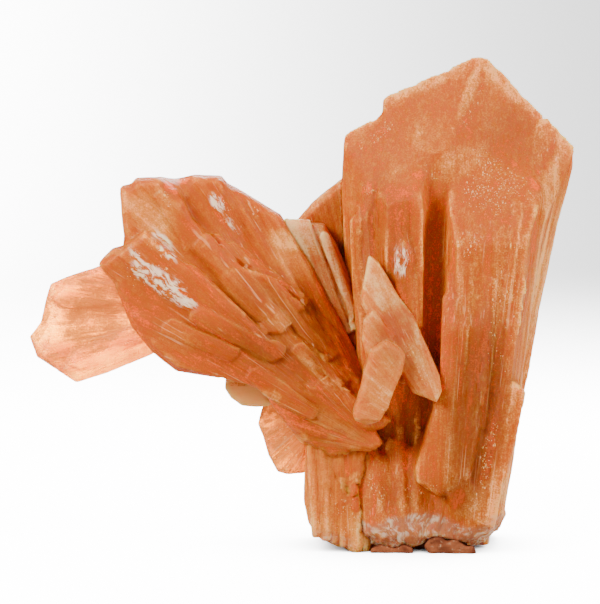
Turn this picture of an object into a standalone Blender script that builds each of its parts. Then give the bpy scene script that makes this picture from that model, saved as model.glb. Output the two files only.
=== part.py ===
"""A stilbite specimen: a tall fanned crystal, a leaning sheaf and the smaller crystals grown on them.

Every length in the tables is in millimetres. X runs to the right, Y away from the viewer and Z up.
A crystal is a flat outline in X and Z, given a front and a back in Y, then bevelled, cut by its
end faces and leaned. Crystals that grow through each other are joined in one solid, and crystals
that only meet face to face stay solids of their own.
"""

from collections import namedtuple
from math import cos, radians, sin

import bmesh
import bpy
from mathutils import Vector

MM = 0.001
CONTACT_GAP = 0.3  # left between two crystals where they meet
CUT_LEVEL = 0.0  # the flat cut that the specimen stands on
ROOT = (25.0, 2.0)  # X and Z of the point that the tall crystal and the base fan out from
SHEAF_ROOT = (15.0, 22.0)  # X and Z where the leaning sheaf leaves the base
LEAST_CUT = 1e-5  # a point this near to a cutting plane counts as on it
WELD = 2e-6  # in metres, corners nearer than this are one corner
FLAT_ANGLE = radians(0.6)  # faces this near to one plane are made one face
CAP_NORMAL = 0.9  # a face whose normal has this much Y is a crystal's front or back
TIP_DROP = 5.0  # laths side by side end this much lower, in turns of three
LATH_STEP = 0.35  # every other lath of a row stands this much further forward
LATH_EXTRA = 0.3  # and is this much wider

PEACH = ("stilbite_peach", (0.80, 0.36, 0.19), 0.38)
TAN = ("stilbite_tan", (0.62, 0.30, 0.16), 0.42)
CREAM = ("stilbite_cream", (0.86, 0.56, 0.36), 0.40)
CLEAR = ("stilbite_clear", (0.90, 0.70, 0.48), 0.30)
MATRIX = ("matrix_rock", (0.30, 0.13, 0.09), 0.85)

Blade = namedtuple("Blade", "outline front back bevel lean hinge facets")


def plate(outline, front, back, bevel=0.8, lean=(0.0, 0.0), hinge=ROOT, facets=()):
    """A crystal with a hand-drawn outline. Each facet is three points of the plane that cuts it."""
    return Blade(outline, front, back, bevel, lean, hinge, facets)


def lath(foot, tip, width, front, back, bevel=0.35, point=0.6, lean=(0.0, 0.0), hinge=ROOT):
    """A long thin crystal from foot to tip, with a gabled end that is point times its width high."""
    foot, tip = Vector(foot), Vector(tip)
    along = (tip - foot).normalized()
    half = Vector((along.y, -along.x)) * width / 2
    shoulder = tip - along * width * point
    outline = [foot - half, foot + half, shoulder + half, tip, shoulder - half]
    return Blade([tuple(p) for p in outline], front, back, bevel, lean, hinge, ())


def polar(centre, angle, radius):
    """The X and Z of a point at that angle, in degrees from +X towards +Z, and radius from centre."""
    return centre[0] + radius * cos(radians(angle)), centre[1] + radius * sin(radians(angle))


def widened(outline, distance):
    """The outline with every side moved outwards by that distance."""
    points = [Vector(p) for p in outline]
    pairs = list(zip(points, points[1:] + points[:1]))
    turn = 1 if sum(a.cross(b) for a, b in pairs) > 0 else -1
    sides = [(b - a).normalized() * turn for a, b in pairs]
    moved = []
    for i, point in enumerate(points):
        before, after = sides[i - 1], sides[i]
        outward = Vector((before.y + after.y, -before.x - after.x))
        moved.append(point + outward * distance / (1 + before.dot(after)))
    return moved


def cut_facet(bm, points, grow):
    """Cuts the crystal by a plane through three points, or grow outside it, and closes it."""
    a, b, c = (Vector(p) for p in points)
    normal = (b - a).cross(c - a).normalized()
    centre = sum((v.co for v in bm.verts), Vector()) / len(bm.verts)
    if (centre - a).dot(normal) > 0:
        normal.negate()
    everything = bm.verts[:] + bm.edges[:] + bm.faces[:]
    made = bmesh.ops.bisect_plane(
        bm, geom=everything, dist=LEAST_CUT, plane_co=a + normal * grow, plane_no=normal,
        clear_outer=True,
    )
    edges = [e for e in made["geom_cut"] if isinstance(e, bmesh.types.BMEdge) and e.is_boundary]
    if edges:
        bmesh.ops.edgeloop_fill(bm, edges=edges)
        bmesh.ops.recalc_face_normals(bm, faces=bm.faces)


def blade_object(blade, grow=0.0):
    """One crystal as an object, in metres, grown outwards by that many millimetres."""
    bm = bmesh.new()
    low, high = blade.front + blade.bevel - grow, blade.back - blade.bevel + grow
    front = bm.faces.new([bm.verts.new((x, low, z)) for x, z in widened(blade.outline, grow)])
    made = bmesh.ops.extrude_face_region(bm, geom=[front])["geom"]
    moved = [v for v in made if isinstance(v, bmesh.types.BMVert)]
    bmesh.ops.translate(bm, verts=moved, vec=(0, high - low, 0))
    bmesh.ops.recalc_face_normals(bm, faces=bm.faces)
    caps = [f for f in bm.faces if abs(f.normal.y) > CAP_NORMAL]
    bmesh.ops.inset_individual(bm, faces=caps, thickness=blade.bevel, depth=blade.bevel)
    for points in blade.facets:
        cut_facet(bm, points, grow)
    for v in bm.verts:
        lean_x = blade.lean[0] * (v.co.x - blade.hinge[0])
        v.co.y += lean_x + blade.lean[1] * (v.co.z - blade.hinge[1])
    bmesh.ops.triangulate(bm, faces=[f for f in bm.faces if len(f.verts) > 4])
    bmesh.ops.recalc_face_normals(bm, faces=bm.faces)
    bmesh.ops.scale(bm, verts=bm.verts, vec=(MM, MM, MM))
    mesh = bpy.data.meshes.new("blade")
    bm.to_mesh(mesh)
    bm.free()
    return bpy.data.objects.new("blade", mesh)


def applied(obj, operation, blades, grow=0.0):
    """Joins or cuts obj with every blade, each grown outwards by that many millimetres."""
    others = bpy.data.collections.new("others")
    bpy.context.scene.collection.children.link(others)
    for blade in blades:
        others.objects.link(blade_object(blade, grow))
    modifier = obj.modifiers.new("join", "BOOLEAN")
    modifier.operation = operation
    modifier.solver = "EXACT"
    modifier.operand_type = "COLLECTION"
    modifier.collection = others
    graph = bpy.context.evaluated_depsgraph_get()
    mesh = bpy.data.meshes.new_from_object(obj.evaluated_get(graph))
    obj.modifiers.clear()
    obj.data = mesh
    for other in list(others.objects):
        bpy.data.objects.remove(other)
    bpy.data.collections.remove(others)


def islands(bm):
    """The separate bodies of a mesh, as lists of faces."""
    left, found = set(bm.faces), []
    while left:
        todo, body = [left.pop()], []
        while todo:
            face = todo.pop()
            body.append(face)
            near = {f for e in face.edges for f in e.link_faces} & left
            left -= near
            todo.extend(near)
        found.append(body)
    return found


def keep_largest(obj):
    """Deletes the chips that a cut leaves beside the main body, and merges flat neighbours."""
    bm = bmesh.new()
    bm.from_mesh(obj.data)
    bmesh.ops.remove_doubles(bm, verts=bm.verts, dist=WELD)
    bodies = sorted(islands(bm), key=lambda body: sum(f.calc_area() for f in body))
    chips = [f for body in bodies[:-1] for f in body]
    bmesh.ops.delete(bm, geom=chips, context="FACES")
    bmesh.ops.dissolve_limit(bm, angle_limit=FLAT_ANGLE, verts=bm.verts, edges=bm.edges)
    bmesh.ops.triangulate(bm, faces=bm.faces)
    bmesh.ops.dissolve_degenerate(bm, dist=WELD, edges=bm.edges)
    bm.to_mesh(obj.data)
    bm.free()


def flank_laths(count, feet, tips, fronts, width, depth):
    """Laths side by side. feet, tips and fronts each run from their first value to their last."""
    made = []
    for i in range(count):
        t = i / (count - 1)
        foot = [a + (b - a) * t for a, b in zip(*feet)]
        tip = [a + (b - a) * t for a, b in zip(*tips)]
        tip[1] -= TIP_DROP * (i % 3) * (1 - t)
        front = fronts[0] + (fronts[1] - fronts[0]) * t - LATH_STEP * (i % 2)
        wide = width + LATH_EXTRA * (i % 2)
        made.append(lath(foot, tip, wide, front, front + depth))
    return made


def tall_plates():
    """The big plates of the tall crystal, back to front, each with its own gabled crown."""
    crown = plate(
        [(17, 0.6), (14.6, 45), (16.1, 88.9), (16.8, 89.8), (34, 97.6), (36.8, 97.2), (47.6, 86),
         (46, 62), (40, 30), (37, 0.6)],
        front=-6, back=8, bevel=1.0,
        facets=[
            ((16, 1.6, 89.8), (34.4, 1.6, 98.0), (27.4, -6.5, 79)),
            ((36.4, 1.6, 98.0), (47.8, 1.6, 86.2), (27.4, -6.5, 79)),
            ((16, 1.6, 89.8), (34.4, 1.6, 98.0), (31, 8.5, 83)),
            ((36.4, 1.6, 98.0), (47.8, 1.6, 86.2), (31, 8.5, 83)),
        ],
    )
    left = plate(
        [(14, 2), (11.5, 20), (8.9, 50), (7.9, 71), (8.2, 82.6), (9, 83.6), (16.4, 87.2),
         (23, 84), (24, 2)],
        front=-5, back=6, bevel=0.9,
        facets=[
            ((8, 1.5, 82.8), (16.4, 1.5, 87.2), (17, -6, 73)),
            ((8, 1, 83), (16.4, 1, 87.2), (17, 7, 76)),
            ((7.8, 1, 71), (8.9, 1, 50), (14.5, -6, 62)),
        ],
    )
    right = plate(
        [(30, 1), (37.6, 1.3), (41.2, 4), (43.1, 8.8), (44.2, 14.6), (45, 29.6), (46.9, 45.6),
         (50.6, 63.6), (54.4, 78.8), (54.1, 80.2), (50.6, 85.2), (48.6, 85.9), (46.6, 84.6),
         (42.4, 72), (38, 56), (31, 20)],
        front=-7, back=6, bevel=0.9,
        facets=[
            ((48.4, 0.6, 86.6), (54.6, 0.6, 79.8), (45, -7, 76)),
            ((36.4, 0.7, 98.4), (47.8, 0.7, 86.2), (27.4, -7.4, 79)),
            ((48.4, 0.6, 86.6), (54.6, 0.6, 79.8), (43, 7, 74)),
            ((54.4, 2, 79), (50.6, 2, 63.6), (44.5, -7.5, 60)),
        ],
    )
    return [crown, left, right]


def front_crystals():
    """The crystals on the tall crystal's front, either side of its deep groove."""
    left_mass = plate(
        [(17.6, 33), (14, 41), (13.4, 50), (13.8, 66), (15, 72), (19.6, 78), (23, 77.6),
         (25.4, 71), (25.4, 45), (24, 35)],
        front=-10.2, back=1, bevel=1.5,
        facets=[
            ((13, -4, 74), (24, -4, 81), (20, -11, 70)),
            ((25.8, -2, 60), (25.8, -2, 20), (22.6, -11, 45)),
            ((13, -2, 62), (13.4, -2, 30), (17, -11, 45)),
            ((17, -4, 31), (25, -4, 33), (21, -11, 44)),
        ],
    )
    right_mass = plate(
        [(29, 6), (28, 20), (28.3, 43), (28.1, 60), (28.8, 71), (31, 75.6), (34, 77.8), (42.6, 77),
         (48.2, 71.5), (46.8, 58), (43.6, 36), (42.2, 20), (40.2, 8), (36, 2.6), (31, 2.6)],
        front=-12.2, back=1, bevel=1.6,
        facets=[
            ((29, -4, 78.5), (44, -4, 79.5), (38, -12, 62)),
            ((48.8, -2, 71), (42.8, -2, 20), (43, -12.6, 58)),
            ((27.6, -6, 60), (27.6, -6, 30), (30.4, -12.6, 45)),
        ],
    )
    front_blade = plate(
        [(22.3, 17.2), (22.6, 14.6), (24, 13.6), (26.6, 11.6), (29, 12.4), (31.6, 13.6), (33.6, 20),
         (35.6, 36), (35.8, 47), (33.4, 57), (30.8, 60), (28.4, 56), (28, 43), (26.4, 31.6)],
        front=-13.3, back=-4, bevel=0.6,
        facets=[((28, -13.6, 44), (28, -9, 62), (33, -9, 62))],
    )
    low_sliver = lath((30.2, 9.6), (33.7, 34), 3.0, -13.8, -8, bevel=0.4, point=0.35)
    low_wide = lath((35.4, 6), (41.5, 34.2), 4.4, -12.9, -6, bevel=0.5, point=0.35)
    tuft = lath((20.8, 34), (19.6, 62.5), 3.4, -11.1, -7, 0.5, point=0.9, lean=(0.0, -0.012))
    return [left_mass, right_mass, front_blade, low_sliver, low_wide, tuft]


def tall_laths():
    """The long laths that stripe the tall crystal's back, and a few on its left edge."""
    back = flank_laths(
        6, ((17, 2), (38, 2)), ((13.4, 78), (46, 76)), (3.6, 3.0), 3.2, 6.4
    )
    left = flank_laths(
        3, ((12.9, 16), (14.9, 14)), ((9.9, 66), (12.6, 74)), (-3.6, -5.4), 1.2, 4
    )
    return back + left


def back_crystals():
    """Two shorter crystals on the tall crystal's back, where the photograph doesn't reach."""
    tall = plate(
        [(18, 1.2), (15.6, 48), (17.4, 76), (24, 84), (29, 78), (29.4, 40), (28, 1.2)],
        front=2, back=11.6, bevel=1.4, facets=[((17, 5, 80), (30, 5, 82), (24, 12, 68))],
    )
    short = plate(
        [(29, 1.2), (32, 44), (35.4, 60), (41, 62), (44.4, 52), (42, 20), (37, 1.2)],
        front=2, back=12.4, bevel=1.4, facets=[((34, 5, 64), (45, 5, 60), (40, 13, 48))],
    )
    return [tall, short]


def root_mass():
    """The fibrous root at the base, with the short slanting laths that run down into it."""
    bulge = plate(
        [(12.6, CUT_LEVEL), (9.6, 1.2), (8.2, 3.4), (8.2, 12), (12, 17), (22, 15), (34, 13),
         (40.6, 7), (39.8, 3.4), (36, 1.2), (30, CUT_LEVEL), (27, 0.4), (24.4, 2.4), (21.8, 0.9),
         (19, CUT_LEVEL)],
        front=-11.6, back=9.4, bevel=1.8,
        facets=[
            ((10, -11.4, 4.4), (36, -11.4, 4), (24, -6.8, 18)),
            ((10, -10.2, 1), (36, -10.2, 1), (24, -11.7, 4)),
            ((8, -6, 3), (12.4, -6, 0), (15, -11.6, 4)),
            ((8, -6.6, 4), (10, -6.6, 17), (14.6, -11.6, 5)),
            ((41, -2, 6), (36, -3, 0.6), (35.6, -11.6, 5)),
        ],
    )
    inner_wall = plate(
        [(10.4, 2), (10, 24), (13, 40), (21, 44), (28, 30), (28, 2)],
        front=-4.8, back=8.6, bevel=0.9, lean=(0.0, -0.03),
    )
    fibres = []
    for i in range(10):
        angle = 100 + 5.6 * i
        foot, tip = polar(ROOT, angle, 5.0), polar(ROOT, angle, 19.0 + 1.6 * (i % 3))
        front = -10.9 + 0.35 * (i % 2) + 0.05 * i
        fibres.append(lath(foot, tip, 2.7, front, 2.0, bevel=0.5, point=0.5, lean=(0.02, 0.16)))
    return [bulge, inner_wall, *fibres]


def foot_blades():
    """The short striped columns at the lower left of the base."""
    column = plate(
        [(1.2, 5.6), (0.3, 10), (0.6, 24), (2.4, 30), (7, 33), (11, 28), (13, CUT_LEVEL),
         (10.4, CUT_LEVEL), (6.2, 1.3), (3, 2.8)],
        front=-8.9, back=7, bevel=1.2,
    )
    heel = plate(
        [(5.6, CUT_LEVEL), (3.4, 2), (3.2, 7), (5, 13), (12.6, 13), (12.6, CUT_LEVEL)],
        front=1.4, back=8.2, bevel=1.1,
    )
    stripes = []
    for i in range(5):
        x = 1.7 + 1.85 * i
        foot, tip = (x + 1.1, 3.1 - 0.6 * i), (x - 0.3, 26 + 2.2 * (i % 3))
        stripes.append(lath(foot, tip, 1.7, -9.8 - 0.4 * (i % 2), 0, bevel=0.5))
        stripes.append(lath(foot, tip, 2.0, 0.5, 7.9 + 0.5 * (i % 2), bevel=0.5))
    return [column, heel, *stripes]


def sheaf_blades():
    """The leaning bundle: stepped plates that spread from one root, then the laths on them."""
    lower = plate(
        [(-40, 57.4), (-37.4, 60), (-33, 61), (-24, 51.6), (-12, 41.6), (-5, 36.8), (6, 27.5),
         (14, 22.8), (8.6, 18.9), (5.2, 18.7), (-0.5, 22.2), (-6.4, 29.8), (-8.4, 34.3),
         (-15.8, 34.9), (-24.8, 36.5), (-29.6, 40.4), (-33.6, 45.2), (-37, 53.8)],
        front=-10.4, back=-2, bevel=1.3, lean=(0.05, 0.03), hinge=SHEAF_ROOT,
    )
    upper = plate(
        [(-35.9, 72), (-35.4, 66), (-34.6, 58), (-26, 47), (-12, 35), (4, 25), (8, 28),
         (-3.2, 43.2), (-1.8, 45.2), (-7.4, 51), (-15.6, 59.6), (-22.2, 66), (-25.6, 74),
         (-33.2, 73.5), (-33.7, 72.4)],
        front=-9.2, back=0, bevel=1.0, lean=(0.05, 0.06), hinge=SHEAF_ROOT,
    )
    inner = plate(
        [(-24.8, 74.2), (-16.4, 73.9), (-14.4, 71.4), (-14.2, 60.8), (-8, 56.2), (-1.9, 52.4),
         (1, 49.5), (2.1, 47.2), (5, 45.2), (7.2, 43), (14, 30), (12, 24), (0, 30), (-20, 52)],
        front=-7.4, back=1.2, bevel=0.9, lean=(0.04, 0.08), hinge=SHEAF_ROOT,
    )
    shadowed = plate(
        [(-24, 73.7), (-17.2, 73.4), (-13.4, 71.5), (-9.6, 69.2), (-4.8, 66.2), (1.2, 56.6),
         (12, 36), (14, 26), (4, 26), (-20, 60)],
        front=-5.4, back=1.8, bevel=0.8, lean=(0.04, 0.07), hinge=SHEAF_ROOT,
    )
    behind = plate(
        [(-34.6, 69), (-31, 72.4), (-18, 72.6), (-9, 66), (3, 46), (13, 28), (6, 22), (-8, 31),
         (-24, 38), (-33, 46), (-36, 58)],
        front=-1, back=6, bevel=1.2, lean=(0.03, 0.04), hinge=SHEAF_ROOT,
    )
    rear = plate(
        [(-29, 64), (-22, 69), (-13, 64), (1, 46), (12, 30), (6, 24), (-10, 35), (-23, 42),
         (-30, 52)],
        front=2, back=9.4, bevel=1.3, lean=(0.0, 0.03), hinge=SHEAF_ROOT,
    )
    notch = plate(
        [(-36.4, 59.4), (-31, 64), (-18, 53), (-8, 44), (-8, 40), (-20, 46), (-34, 56)],
        front=-11.6, back=-6, bevel=0.8, lean=(0.05, 0.05), hinge=SHEAF_ROOT,
    )
    return [lower, upper, inner, shadowed, behind, rear, notch]


def sheaf_laths():
    """Long steps down the sheaf's faces, fanned from its root, and the two wedges at its foot."""
    made = []
    steps = [  # the front of each step, then its outline
        (-10.6, [(-34, 49.5), (-20.6, 49.6), (-8, 44.4), (-4.6, 40), (-9, 36), (-20, 38), (-31, 43)]),
        (-11.3, [(-30, 42.6), (-24.8, 44.6), (-12.2, 40.6), (-4.2, 36.6), (-7, 33), (-16, 35.2),
                 (-24.6, 37.4)]),
        (-10.0, [(-12, 46), (-2.8, 43.8), (11.2, 34.2), (12.6, 30.6), (2, 33), (-10, 40)]),
        (-10.9, [(-9, 41.4), (-1.6, 39.4), (8.4, 32.4), (10, 29), (0, 31.4), (-9, 36.6)]),
        (-8.3, [(-13.4, 56.6), (-5.6, 54), (6.2, 41), (10.6, 35), (4, 37.4), (-9, 50)]),
        (-11.6, [(-4, 34), (3, 31.8), (12, 25.4), (13.4, 23.4), (5, 25.6), (-4.6, 30.6)]),
    ]
    for front, outline in steps:
        made.append(plate(outline, front, front + 4, bevel=0.3, lean=(0.05, 0.05), hinge=SHEAF_ROOT))
    for i in range(6):
        angle = 126 + 5.0 * i
        foot, tip = polar(SHEAF_ROOT, angle, 8), polar(SHEAF_ROOT, angle, 34 + 7.0 * (i % 3))
        back = 10.4 - 0.5 * (i % 2)
        made.append(lath(foot, tip, 3.4, 4 + 0.17 * i, back, lean=(0.0, 0.03), hinge=SHEAF_ROOT))
    upper_wedge = plate(
        [(0, 34), (8, 26.4), (12, 24.8), (15.6, 25), (17.2, 26.7), (10, 31)],
        front=-12.4, back=-6, bevel=0.8,
    )
    lower_wedge = plate(
        [(0, 27), (8, 20.6), (13.2, 20.4), (15.6, 21.8), (14, 24.6), (6, 28)],
        front=-11.4, back=-4, bevel=0.8,
    )
    return made + [upper_wedge, lower_wedge]


def middle_blades():
    """The flat tan blade between the sheaf and the tall crystal, with a bevelled right edge."""
    blade = plate(
        [(-9.5, 66), (-4, 64.9), (-1.8, 64.7), (4.1, 64.2), (6.6, 59.8), (9.4, 53.5), (12.5, 44),
         (15, 32), (12, 27), (4, 34), (-3, 48)],
        front=-1.6, back=3.4, bevel=0.7, lean=(0.0, 0.02), hinge=SHEAF_ROOT,
    )
    edge = lath((13.4, 38), (3.9, 63), 1.6, -2.6, 1.5, bevel=0.4, point=0.5)
    return [blade, edge]


def rear_blades():
    """The orange blade that fills the notch behind the middle blade."""
    front = plate(
        [(-1.8, 63.8), (1.8, 67.9), (4.4, 70.2), (8, 73), (12.4, 75.4), (16, 60), (15, 40),
         (6, 40), (-3, 56)],
        front=4.2, back=8.6, bevel=0.8,
    )
    back = plate(
        [(0.5, 60), (4, 66), (10, 70), (15, 68), (15, 42), (8, 40), (1, 50)],
        front=7, back=11, bevel=0.9,
    )
    return [front, back]


def pale_blades():
    """The thin clear crystal that sticks out behind the sheaf's far end."""
    plate_crystal = plate(
        [(-24, 56.6), (-40.4, 56.1), (-47.1, 53.9), (-50.1, 52.6), (-51.1, 49.4), (-52.0, 45.0),
         (-54.3, 42.1), (-52.8, 38.4), (-47.4, 34.9), (-45.1, 33.4), (-39.2, 35.2), (-30.3, 38.8),
         (-24, 42.4)],
        front=-4.4, back=0.6, bevel=0.9, lean=(0.04, 0.0), hinge=(-30.0, 45.0),
        facets=[((-50, -1.2, 56), (-54.6, -1.2, 42), (-47.5, -5, 47))],
    )
    ledge = lath((-28, 45.4), (-46.6, 36.8), 3.4, -5.2, -1, bevel=0.4, lean=(0.04, 0.0),
                 hinge=(-30.0, 45.0))
    rib = lath((-28, 52), (-49.5, 50), 4.6, -5.0, 1.2, bevel=0.4, lean=(0.04, 0.0),
               hinge=(-30.0, 45.0))
    return [plate_crystal, ledge, rib]


def lower_plate_blades():
    """The pale plate that shows below the sheaf, beside the striped columns."""
    return [
        plate(
            [(-7.6, 28.6), (-8.2, 27), (-8.8, 24.4), (-7.8, 21.8), (-6.8, 18.3), (-5, 15),
             (-3.2, 14.5), (3, 14.9), (8, 20), (4, 30), (-2, 33)],
            front=-2.4, back=1.8, bevel=0.7,
        )
    ]


def lower_tab_blades():
    """The small orange plate under the sheaf's lower edge."""
    return [
        plate(
            [(-15.2, 34.4), (-15.4, 32.2), (-14.3, 30.4), (-12.2, 28.9), (-8.2, 28.6), (0, 31),
             (-2, 37), (-12, 38)],
            front=-6.4, back=-2.6, bevel=0.7,
        )
    ]


def crossed_blades():
    """The two small crystals that cross in front of the tall crystal."""
    long_blade = plate(
        [(12.9, 59), (11.4, 51.1), (11.5, 49.8), (12.8, 47.4), (19.2, 36.6), (21.4, 32.7),
         (26, 30.9), (27, 32.8), (26.6, 35.6), (23.8, 42), (21.4, 47.2), (18.2, 51.6), (14.8, 57.6)],
        front=-14.6, back=-9.2, bevel=0.4, lean=(-0.10, 0.0), hinge=(15.0, 50.0),
        facets=[((12, -14.8, 51), (26, -14.8, 31), (25, -12, 42))],
    )
    stub = plate(
        [(13.3, 41.4), (12, 37.1), (11.3, 33.5), (9.8, 29), (10.2, 27.7), (12.4, 26.3),
         (14.8, 27.7), (16.4, 30.2), (17.4, 33.2), (19, 36.6), (19.7, 40.2), (18.2, 41.9),
         (16.1, 43)],
        front=-18.2, back=-11, bevel=0.5, lean=(0.0, 0.05), hinge=(15.0, 42.0),
        facets=[((10, -18.4, 28.2), (14.6, -18.4, 27.9), (12.3, -14.5, 26.4))],
    )
    arm = plate(
        [(11.6, 43), (11.9, 46.8), (13.4, 48.6), (18, 44), (16, 38), (13, 38)],
        front=-15.8, back=-10.4, bevel=0.5,
    )
    return [long_blade, stub, arm]


def matrix_blades():
    """What is left of the host rock: two brown lumps in the base, joined behind a small notch."""
    left = plate(
        [(13.4, CUT_LEVEL), (13.8, 0.8), (15.6, 1.3), (18.2, 0.9), (20, 1.5), (21.4, 0.9),
         (21.8, CUT_LEVEL)],
        front=-10.7, back=5, bevel=0.35,
    )
    right = plate(
        [(25.2, CUT_LEVEL), (24.2, 1.4), (25, 2.8), (27, 3.3), (28.6, 2.6), (30.4, 2.7), (32.2, 1.5),
         (33.4, 1.2), (34, CUT_LEVEL)],
        front=-11.2, back=5, bevel=0.4,
    )
    link = plate(
        [(15, CUT_LEVEL), (16, 1.1), (24, 2.2), (31, 1.8), (32, CUT_LEVEL)],
        front=-7, back=4, bevel=0.4,
    )
    return [left, right, link]


GROUPS = [  # each is cut by those above it where they would meet
    ("matrix_crust", MATRIX, matrix_blades),
    ("tall_crystal", PEACH,
     lambda: tall_plates() + front_crystals() + tall_laths() + back_crystals() + root_mass()),
    ("foot_columns", PEACH, foot_blades),
    ("leaning_sheaf", PEACH, lambda: sheaf_blades() + sheaf_laths()),
    ("crossed_crystals", CREAM, crossed_blades),
    ("middle_blade", TAN, middle_blades),
    ("rear_blade", PEACH, rear_blades),
    ("pale_crystal", CLEAR, pale_blades),
    ("lower_plate", CLEAR, lower_plate_blades),
    ("lower_tab", PEACH, lower_tab_blades),
]


def material_of(name, colour, roughness):
    """A Principled material with that colour and roughness, made once for each name."""
    found = bpy.data.materials.get(name)
    if found:
        return found
    made = bpy.data.materials.new(name)
    made.use_nodes = True
    shader = made.node_tree.nodes["Principled BSDF"]
    shader.inputs["Base Color"].default_value = (*colour, 1.0)
    shader.inputs["Roughness"].default_value = roughness
    shader.inputs["Metallic"].default_value = 0.0
    return made


def centre_on_origin(objects):
    """Moves the specimen so that its box is centred on the Z axis and stands at Z 0."""
    points = [v.co for obj in objects for v in obj.data.vertices]
    low = Vector([min(p[i] for p in points) for i in range(3)])
    high = Vector([max(p[i] for p in points) for i in range(3)])
    shift = Vector((-(low.x + high.x) / 2, -(low.y + high.y) / 2, -low.z))
    for obj in objects:
        for v in obj.data.vertices:
            v.co += shift


def build():
    for obj in list(bpy.data.objects):
        bpy.data.objects.remove(obj)
    specimen = bpy.data.collections.new("stilbite_specimen")
    bpy.context.scene.collection.children.link(specimen)
    made = []
    earlier = []
    for name, material, blades in GROUPS:
        first, *rest = blades()
        obj = blade_object(first)
        specimen.objects.link(obj)
        if rest:
            applied(obj, "UNION", rest)
        if earlier:
            applied(obj, "DIFFERENCE", earlier, CONTACT_GAP)
        keep_largest(obj)
        obj.name = obj.data.name = name
        obj.data.materials.clear()
        obj.data.materials.append(material_of(*material))
        earlier += [first, *rest]
        made.append(obj)
    centre_on_origin(made)


build()
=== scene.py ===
"""The looks of the stilbite specimen: worn crystal faces and cloudy, translucent peach stilbite.

Lengths in the tables are in millimetres. X runs to the right, Y away from the viewer and Z up.
Each crystal's grain fans out from a focus: u runs across the grain, r along it, and y is depth.
"""

from collections import namedtuple

import bpy
import numpy as np
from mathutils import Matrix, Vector
from mathutils.bvhtree import BVHTree
from mathutils.kdtree import KDTree


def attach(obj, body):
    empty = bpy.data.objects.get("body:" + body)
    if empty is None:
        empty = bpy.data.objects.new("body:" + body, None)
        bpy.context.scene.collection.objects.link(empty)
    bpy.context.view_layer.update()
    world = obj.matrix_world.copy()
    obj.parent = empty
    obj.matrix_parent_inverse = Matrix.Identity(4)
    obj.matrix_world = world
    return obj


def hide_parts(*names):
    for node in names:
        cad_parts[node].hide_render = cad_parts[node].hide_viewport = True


MM = 0.001
SWELL = 0.17  # crystals swell by this, which closes the gaps that the CAD leaves between them
FILL_ROUNDS, BLEND_ROUNDS = 10, 140  # rounds of smoothing for a skin with faces of ROUNDS_VOXEL
ROUNDS_VOXEL = 0.38
BODY = "root"
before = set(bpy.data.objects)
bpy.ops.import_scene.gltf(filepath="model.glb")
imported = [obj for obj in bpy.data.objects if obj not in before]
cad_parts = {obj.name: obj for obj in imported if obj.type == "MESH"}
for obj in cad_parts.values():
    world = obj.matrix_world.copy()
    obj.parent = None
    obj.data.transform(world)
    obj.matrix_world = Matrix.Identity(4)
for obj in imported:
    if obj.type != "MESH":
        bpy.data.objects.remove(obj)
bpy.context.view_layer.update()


# Noise


def hashed(cells, seed):
    """A number from 0 to 1 for each whole-number cell."""
    a, b, c = (cells[..., i].astype(np.int64) for i in range(3))
    h = (a * 73856093) ^ (b * 19349663) ^ (c * 83492791) ^ (seed * 2654435761)
    h = ((h ^ (h >> 13)) * 1274126177) & 0xFFFFFFFF
    h = ((h ^ (h >> 15)) * 2246822519) & 0xFFFFFFFF
    return ((h ^ (h >> 16)) & 0xFFFFFF) / 0xFFFFFF


def noise(points, seed):
    """Smooth noise from -1 to 1 with one bump for each unit of length."""
    low = np.floor(points)
    part = points - low
    part = part * part * (3 - 2 * part)
    total = np.zeros(len(points))
    for corner in np.ndindex(2, 2, 2):
        weight = np.prod(np.where(np.array(corner) == 1, part, 1 - part), axis=1)
        total += weight * hashed(low + corner, seed)
    return total * 2 - 1


def layered(points, seed, octaves=3):
    """Several sizes of noise added up, from -1 to 1."""
    total = np.zeros(len(points))
    for i in range(octaves):
        total += noise(points * 2.0**i, seed + i) * 0.5**i
    return total / (2 - 0.5 ** (octaves - 1))


def rise(values, low, high):
    """0 below low, 1 above high and smooth between them."""
    t = np.clip((values - low) / (high - low), 0, 1)
    return t * t * (3 - 2 * t)


# Meshes


def cad_arrays(node):
    """The vertices, in millimetres, and the triangles of a CAD node."""
    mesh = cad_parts[node].data
    verts = np.empty(len(mesh.vertices) * 3)
    mesh.vertices.foreach_get("co", verts)
    mesh.calc_loop_triangles()
    tris = np.empty(len(mesh.loop_triangles) * 3, dtype=np.int32)
    mesh.loop_triangles.foreach_get("vertices", tris)
    return verts.reshape(-1, 3) / MM, tris.reshape(-1, 3)


def tree_of(verts, tris):
    """A tree of triangles, to cast rays at."""
    return BVHTree.FromPolygons([tuple(v) for v in verts], [tuple(int(i) for i in t) for t in tris])


def object_from(name, verts, faces):
    """A mesh object, from vertices in millimetres."""
    mesh = bpy.data.meshes.new(name)
    mesh.from_pydata([tuple(v) for v in verts * MM], [], [tuple(int(i) for i in f) for f in faces])
    mesh.update()
    obj = bpy.data.objects.new(name, mesh)
    bpy.context.scene.collection.objects.link(obj)
    return obj


def remeshed(obj, voxel, smooth):
    """Fuses the overlapping solids of obj in one skin of even faces, with slightly worn edges."""
    remesh = obj.modifiers.new("remesh", "REMESH")
    remesh.mode = "VOXEL"
    remesh.voxel_size = voxel * MM
    worn = obj.modifiers.new("worn", "SMOOTH")
    worn.factor = 0.5
    worn.iterations = smooth
    graph = bpy.context.evaluated_depsgraph_get()
    mesh = bpy.data.meshes.new_from_object(obj.evaluated_get(graph))
    obj.modifiers.clear()
    obj.data = mesh


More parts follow.
